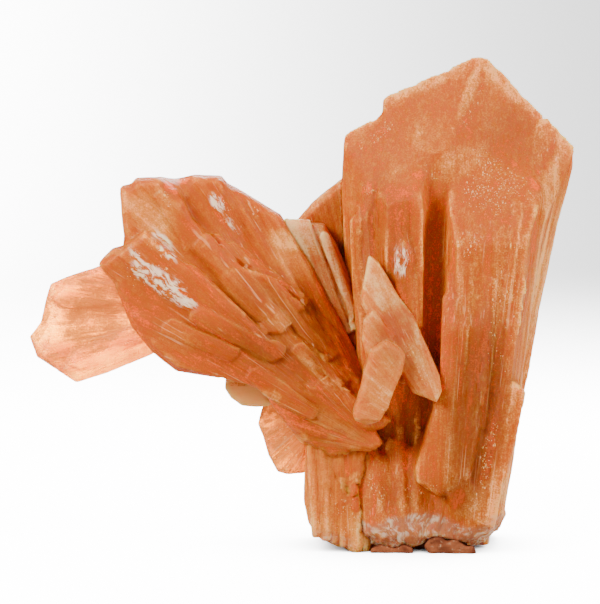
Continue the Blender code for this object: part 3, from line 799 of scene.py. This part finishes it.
def stilbite(name, tones, subsurface=0.8, clear=0.0):
    """Cloudy stilbite: pale thin edges and deep orange recesses from the painted light and shade in
    each vertex's tone, white cleavage faces partly painted as a pearly highlight, and painted glints.
    """
    n = Nodes(name)
    grain = n.field("grain")
    place = n.add("TexCoord").outputs["Object"]
    streak = n.noise(grain, 1.0, (0.9, 0.7, 0.03))
    hair = n.noise(grain, 1.0, (2.4, 1.8, 0.08), rough=0.7)
    cloud = n.noise(place, 110.0)
    haze = n.noise(place, 420.0, detail=4.0, rough=0.65)
    grit = n.noise(place, 1150.0, rough=0.7)
    speck = n.noise(place, 3300.0, detail=2.0)
    tone = n.value("tone")
    for part, share in ((streak, 0.4), (hair, 0.6), (cloud, 0.4), (haze, 0.4)):
        tone = n.varied(tone, part, share)
    for part, share in ((grit, 1.0), (speck, 1.5)):
        tone = n.varied(tone, part, n.product(n.value("coarse"), share))
    tone, normal = lath_cells(n, grain, tone)

    # painted shade: the SHADES zones darken the colour
    colour = n.mix(n.value("shade"), n.colours(tone, tones), PAINTED_SHADE_TINT, "MULTIPLY")
    lines = n.ramp(n.noise(grain, 1.0, (2.6, 2.0, 0.035), detail=1.0), 0.63, 0.7)
    lines = n.product(lines, n.ramp(cloud, 0.42, 0.6), n.value("lined"))
    colour = n.mix(lines, colour, PALE_LINE)
    # painted glints: bright specks mixed into the colour
    colour = n.mix(n.product(painted_sparks(n, grain, place), 0.85), colour, PAINTED_GLINT_COLOUR)
    shreds = n.noise(n.warped(grain, 0.28, 1.8), 1.0, (2.4, 1.6, 0.34), 5.0, 0.7)
    flake = n.product(n.value("flake"), n.ramp(shreds, 0.4, 0.58))
    # cleavage shreds: their own white together with a painted pearly highlight
    colour = n.mix(n.ramp(flake, 0.1, 0.8, (0.0, 0.88)), colour, CLEAVED_WHITE_AND_SHEEN)
    colour = fibrous_root(n, colour, haze)

    rough = n.ramp(n.noise(grain, 1.0, (2.0, 1.5, 0.15), detail=2.0), 0.3, 0.7, (0.24, 0.44))
    height = n.math("ADD", n.product(hair, 0.8), n.product(speck, 0.6))
    bump = n.add("Bump", {"Strength": 0.7, "Distance": 0.0004, "Height": height, "Normal": normal})
    settings = {
        "Base Color": colour,
        "Roughness": rough,
        "Normal": bump.outputs["Normal"],
        "IOR": 1.5,
        "Specular IOR Level": 0.12,
        "Subsurface Weight": subsurface,
        "Subsurface Radius": (1.0, 0.32, 0.12),
        "Subsurface Scale": 0.005,
    }
    ends = {}
    if clear:
        settings["Transmission Weight"] = n.ramp(tone, 0.35, 0.85, (0.1, clear))
        volume = n.add("VolumeAbsorption", {"Color": (1.0, 0.84, 0.38, 1.0), "Density": 400.0})
        ends["Volume"] = volume.outputs[0]
    ends["Surface"] = n.add("BsdfPrincipled", settings).outputs[0]
    n.add("OutputMaterial", ends)
    return n.material


def matrix_material():
    """Matt reddish brown rock with pale specks."""
    n = Nodes("matrix_rock")
    place = n.add("TexCoord").outputs["Object"]
    grit = n.noise(place, 900.0, detail=5.0)
    patch = n.noise(place, 220.0)
    colour = n.mix(n.ramp(patch, 0.35, 0.65), (0.12, 0.026, 0.010), (0.27, 0.078, 0.028))
    colour = n.mix(n.ramp(grit, 0.58, 0.74), colour, (0.44, 0.24, 0.13))
    bump = n.add("Bump", {"Strength": 0.8, "Distance": 0.0006, "Height": grit}).outputs["Normal"]
    settings = {"Base Color": colour, "Roughness": 0.85, "Specular IOR Level": 0.1, "Normal": bump}
    n.add("OutputMaterial", {"Surface": n.add("BsdfPrincipled", settings).outputs[0]})
    return n.material


# The specimen

PEACH = stilbite("stilbite_peach", PEACH_TONES)
TAN = stilbite("stilbite_tan", TAN_TONES)
CREAM = stilbite("stilbite_cream", CREAM_TONES)
CLEAR = stilbite("stilbite_clear", CLEAR_TONES, 0.0, 0.9)

Look = namedtuple("Look", "focus reference material voxel smooth ribs steps tint")
LOOKS = {
    "tall_crystal": Look((21.1, -113.0), 165.0, PEACH, 0.4, 1, 0.13, 0.14, 0.37),
    "leaning_sheaf": Look((17.0, 20.0), 34.0, PEACH, 0.31, 1, 0.07, 0.18, 0.21),
    "foot_columns": Look((6.0, 160.0), 150.0, PEACH, 0.32, 1, 0.12, 0.15, 0.48),
    "crossed_crystals": Look((30.0, 22.0), 26.0, CREAM, 0.24, 1, 0.04, 0.08, 0.42),
    "middle_blade": Look((15.3, 22.0), 34.0, TAN, 0.26, 1, 0.03, 0.08, 0.5),
    "rear_blade": Look((15.3, 22.0), 40.0, PEACH, 0.3, 1, 0.04, 0.1, 0.5),
    "pale_crystal": Look((-12.0, 47.0), 30.0, CLEAR, 0.26, 2, 0.03, 0.1, 0.6),
    "lower_plate": Look((12.0, 34.0), 18.0, CLEAR, 0.22, 1, 0.06, 0.1, 0.45),
    "lower_tab": Look((15.0, 34.0), 28.0, PEACH, 0.22, 1, 0.02, 0.05, 1.0),
}
# The box that the laths of a node start in, on each side: its low and high corner in X and Z, their
# number, and the least and most of their length, width and height
LATHS = {
    "tall_crystal": ((8, 2), (50, 48), 260, (10, 36), (0.7, 1.9), (0.03, 0.18)),
    "leaning_sheaf": ((-30, 24), (12, 58), 170, (8, 26), (0.8, 2.8), (0.04, 0.2)),
}
ROCK, ROCK_VOXEL, ROCK_SEED = "matrix_crust", 0.24, 905


def finish_piece(piece, node, material):
    """Gives a piece its material and puts it in the place of its CAD node."""
    piece.data.materials.clear()
    piece.data.materials.append(material)
    for polygon in piece.data.polygons:
        polygon.use_smooth = True
    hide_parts(node)
    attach(piece, BODY)


def crystal(node, look, seed):
    """One crystal, with its laths."""
    laths = Laths(node, look.focus, seed)
    if node in LATHS:
        low, high, *rest = LATHS[node]
        for side in (-1, 1):
            laths.lay(low, high, side, *rest)
    piece = laths.fused(node + "_surface", look.voxel, look.smooth)
    weather_and_painted_light(node, piece.data, look, seed * 100)
    finish_piece(piece, node, look.material)


def rock():
    """The lumpy host rock in the base."""
    piece = Laths(ROCK, (0.0, 0.0), 0).fused(ROCK + "_surface", ROCK_VOXEL, 1)
    points, normals = vertex_arrays(piece.data)
    lumps = layered(points / 1.6, ROCK_SEED, 4) * 0.6 + SWELL
    points = points + normals * lumps[:, None]
    points[:, 2] = np.maximum(points[:, 2], 0.0)
    move_to(piece.data, points)
    finish_piece(piece, ROCK, matrix_material())


for number, (name, its_look) in enumerate(LOOKS.items(), 1):
    crystal(name, its_look, number)
rock()


# The studio


def light(name, place, target, size, power, spread):
    """An area light in metres and watts, aimed at target, with its spread in degrees."""
    lamp = bpy.data.lights.new(name, "AREA")
    lamp.shape = "RECTANGLE"
    lamp.size, lamp.size_y = size
    lamp.energy = power
    lamp.spread = np.radians(spread)
    obj = bpy.data.objects.new(name, lamp)
    bpy.context.scene.collection.objects.link(obj)
    obj.location = place
    obj.rotation_euler = (Vector(target) - Vector(place)).to_track_quat("-Z", "Y").to_euler()


def paper_sweep():
    """The floor, which curves up behind the specimen so that no horizon shows."""
    half, near, bend, radius, parts, top = 2.4, -0.05, 0.6, 0.35, 24, 1.2
    profile = [(-half, 0.0)] + [((bend - near) * i / 4 + near, 0.0) for i in range(5)]
    for i in range(1, parts + 1):
        angle = np.pi / 2 * i / parts
        profile.append((bend + radius * np.sin(angle), radius * (1 - np.cos(angle))))
    profile.append((bend + radius, top))
    verts = [(x, y, z) for y, z in profile for x in (-half, half)]
    faces = [(2 * i, 2 * i + 1, 2 * i + 3, 2 * i + 2) for i in range(len(profile) - 1)]
    mesh = bpy.data.meshes.new("floor")
    mesh.from_pydata(verts, [], faces)
    for polygon in mesh.polygons:
        polygon.use_smooth = True
    obj = bpy.data.objects.new("floor", mesh)
    bpy.context.scene.collection.objects.link(obj)
    obj.data.materials.append(paper_material())
    return obj


GLOW, CORNER_GLOW = 14.0, 0.12  # how bright the paper is, and the share of it in the far right corner, a painted falloff of light


def paper_material():
    """White paper, exposed as brightly as in the photograph without lighting the stone more."""
    n = Nodes("paper")
    shader = n.add("BsdfPrincipled", {"Base Color": (0.5, 0.5, 0.5, 1), "Roughness": 0.8})
    place = n.add("SeparateXYZ", {0: n.add("TexCoord").outputs["Object"]})
    corner = n.product(n.ramp(place.outputs[0], -0.2, 0.2), n.ramp(place.outputs[1], 0.15, 0.6))
    path = n.add("LightPath")
    seen = n.math("MAXIMUM", path.outputs["Is Camera Ray"], path.outputs["Is Transmission Ray"])
    # painted contact shadow: the paper's glow dims where the stone covers its sky
    open_sky = n.add("AmbientOcclusion", {"Distance": 0.04}, samples=16).outputs["AO"]
    # painted falloff: the glow dims towards the far right corner
    painted_corner_falloff = n.math("POWER", CORNER_GLOW, corner)
    glow = n.product(painted_corner_falloff, GLOW, n.ramp(open_sky, 0.0, 0.85), seen)
    shine = n.add("Emission", {"Strength": glow})
    both = n.add("AddShader", {0: shader.outputs[0], 1: shine.outputs[0]})
    n.add("OutputMaterial", {"Surface": both.outputs[0]})
    return n.material


paper_sweep()

world = bpy.data.worlds.new("studio")
bpy.context.scene.world = world
world.use_nodes = True
sky = world.node_tree.nodes["Background"]
sky.inputs["Color"].default_value = (1, 1, 1, 1)
sky.inputs["Strength"].default_value = 0.16

light("top", (-0.15, 0.3, 0.8), (-0.03, 0.15, 0.0), (0.5, 0.5), 1.5, 120)
light("key", (-0.42, -0.34, 0.4), (0, 0, 0.05), (0.22, 0.22), 1.95, 90)
light("side", (0.5, -0.2, 0.3), (0, 0, 0.05), (0.2, 0.3), 1.2, 90)
light("back", (0.1, 0.55, 0.4), (0, 0, 0.05), (0.3, 0.3), 1.3, 90)

LENS, SENSOR, DISTANCE, ELEVATION = 180, 36, 0.6, np.radians(6.0)
camera_data = bpy.data.cameras.new("camera")
camera_data.lens = LENS
camera_data.sensor_width = SENSOR
camera = bpy.data.objects.new("camera", camera_data)
bpy.context.scene.collection.objects.link(camera)
middle = Vector((-0.00047, 0.0, 0.0492))
camera.location = middle + Vector((0, -np.cos(ELEVATION), np.sin(ELEVATION))) * DISTANCE
camera.rotation_euler = (middle - camera.location).to_track_quat("-Z", "Y").to_euler()
bpy.context.scene.camera = camera
